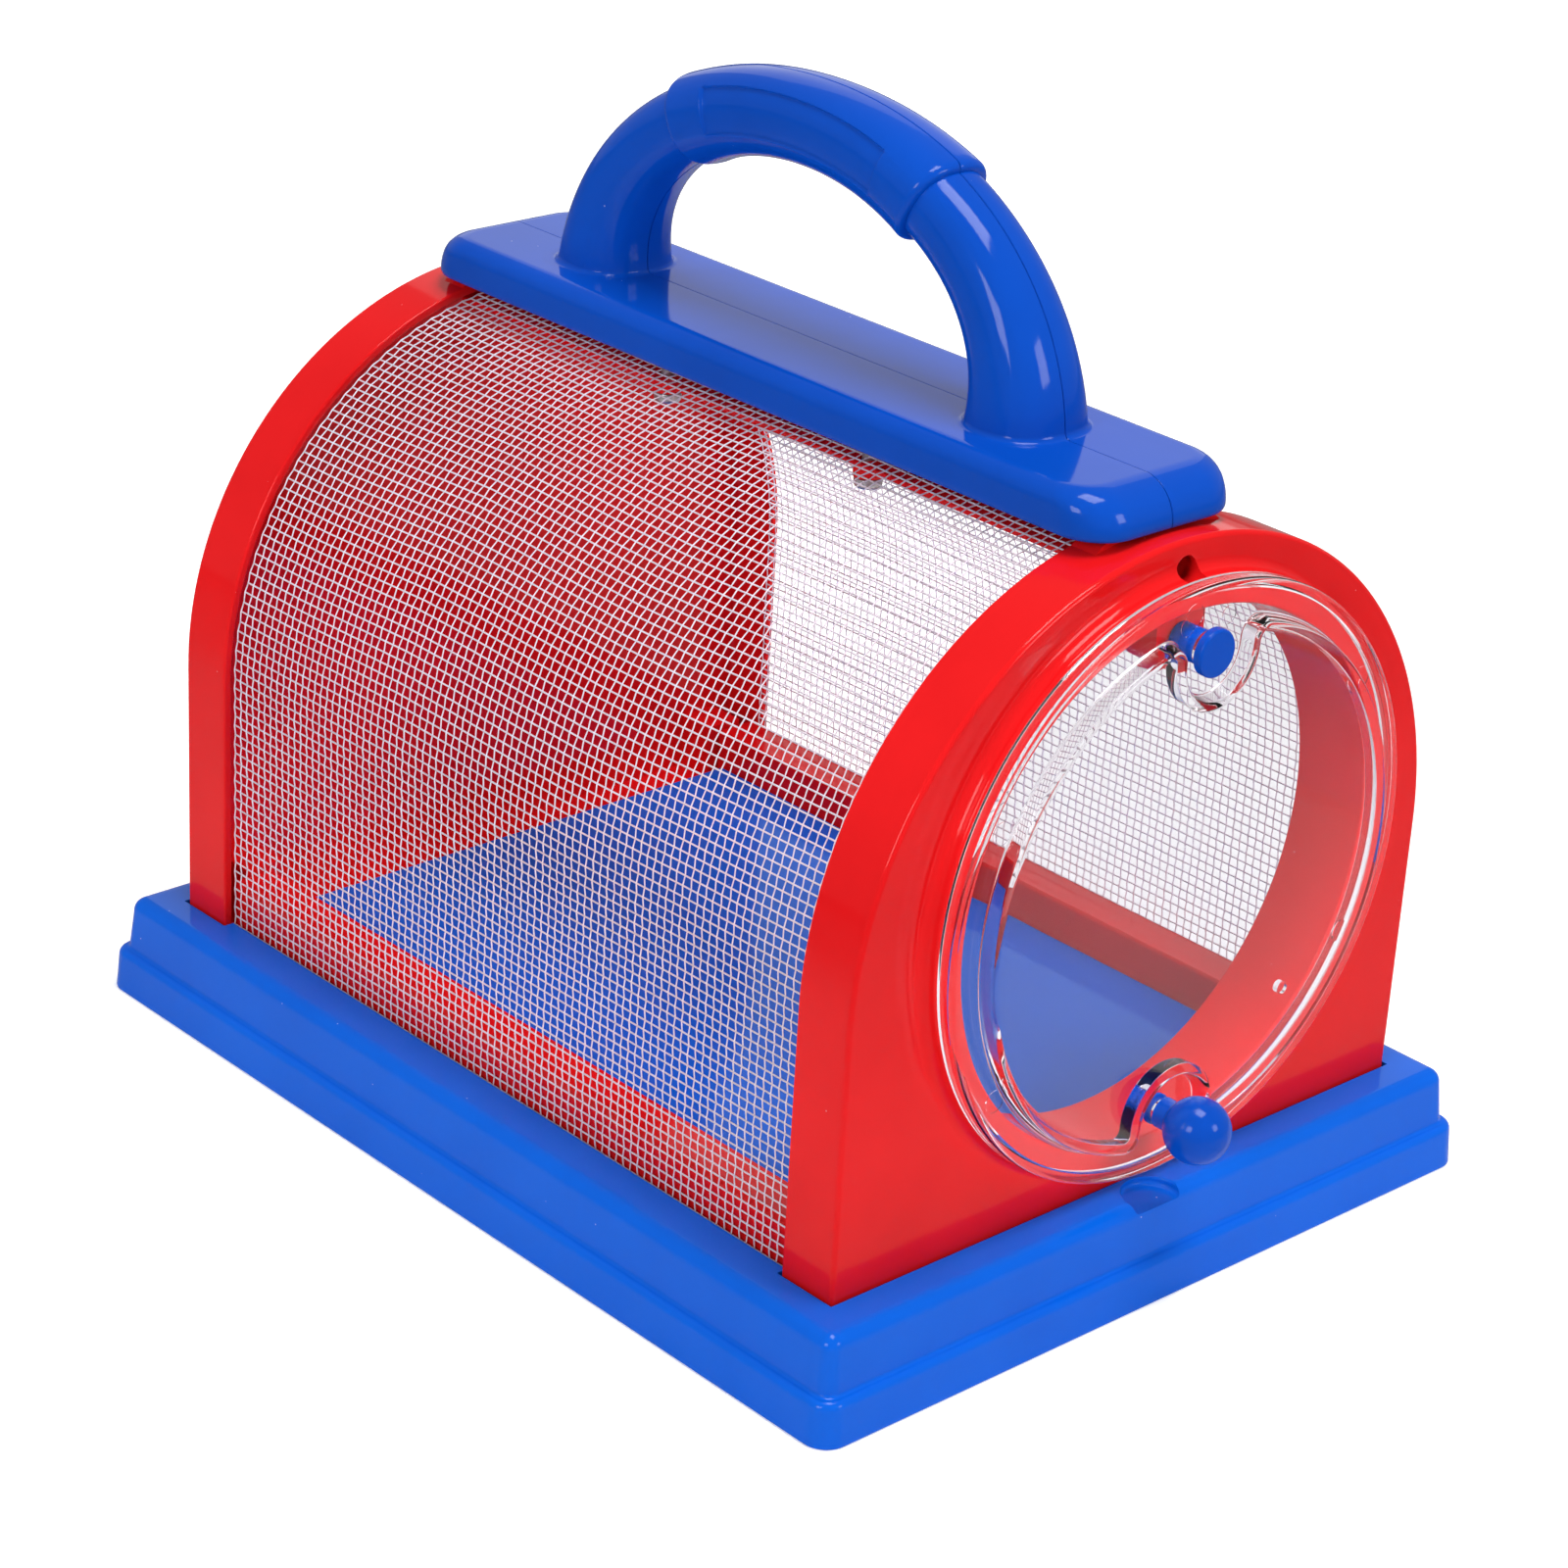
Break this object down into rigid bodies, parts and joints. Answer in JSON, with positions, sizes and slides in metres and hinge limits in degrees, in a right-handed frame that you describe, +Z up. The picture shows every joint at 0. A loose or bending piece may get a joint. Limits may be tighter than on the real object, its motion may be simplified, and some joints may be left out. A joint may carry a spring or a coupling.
{
  "type": "insect cage",
  "caption": "Toy insect cage: stepped base, arched end panels, woven screen over the top, round clear swing door with a ball knob, and a carrying handle.",
  "frame": {"origin": "on the ground, under the middle of the whole length from knob to rear edge", "axes": "+Z up, +Y along the length from the door end to the closed end, +X to the right seen from the door end"},
  "size_m": [0.17, 0.2286, 0.2037],
  "materials": {
    "blue_plastic": "glossy injection-moulded blue",
    "red_plastic": "glossy injection-moulded red",
    "clear_plastic": "colourless clear, polished",
    "white_screen": "coated woven strands, semi-gloss",
    "screw_steel": "zinc-plated"
  },
  "bodies": {
    "cage": {"base_tray": "blue_plastic", "front_end_panel": "red_plastic", "rear_end_panel": "red_plastic", "side_rail_left": "red_plastic", "side_rail_right": "red_plastic", "ridge_beam": "red_plastic", "mesh_screen": "white_screen", "handle_left_half": "blue_plastic", "handle_right_half": "blue_plastic", "pivot_peg": "blue_plastic", "base_screw_front_left": "screw_steel", "base_screw_front_right": "screw_steel", "base_screw_rear_left": "screw_steel", "base_screw_rear_right": "screw_steel", "handle_screw_front_left": "screw_steel", "handle_screw_front_right": "screw_steel", "handle_screw_rear_left": "screw_steel", "handle_screw_rear_right": "screw_steel", "ridge_screw_front": "screw_steel", "ridge_screw_rear": "screw_steel"},
    "door": {"swing_door": "clear_plastic", "ball_knob": "blue_plastic"}
  },
  "joints": [
    {"name": "door_swing", "type": "hinge", "parent": "cage", "child": "door", "pos_m": [0, -0.09928, 0.1275], "axis": [0, 1, 0], "continuous": true}
  ]
}
